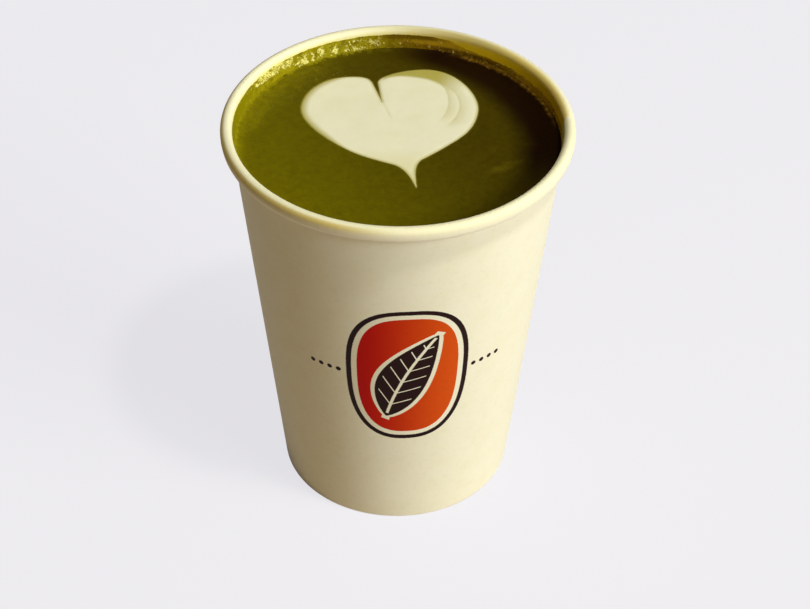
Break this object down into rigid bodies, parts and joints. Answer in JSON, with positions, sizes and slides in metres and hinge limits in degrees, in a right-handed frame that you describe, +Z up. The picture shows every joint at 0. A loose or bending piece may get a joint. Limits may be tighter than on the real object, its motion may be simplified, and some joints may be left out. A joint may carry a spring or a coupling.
{
  "type": "matcha latte in a paper cup",
  "caption": "Single-wall paper cup with a rolled brim, filled with a green matcha latte that carries a heart of milk foam.",
  "frame": {"origin": "centre of the cup's foot, on the surface that it stands on", "axes": "+Z up along the cup's axis, -Y towards the front of the print and the tail of the heart, +X towards the side seam"},
  "size_m": [0.09, 0.09, 0.11],
  "materials": {
    "cup_board": "cream coated board with a soft sheen",
    "matcha": "wet, fine-bubbled green tea and milk",
    "milk_foam": "fine, satin milk foam"
  },
  "bodies": {
    "root": {"cup_wall": "cup_board", "cup_bottom": "cup_board", "matcha_drink": "matcha", "milk_foam_heart": "milk_foam"}
  },
  "joints": []
}
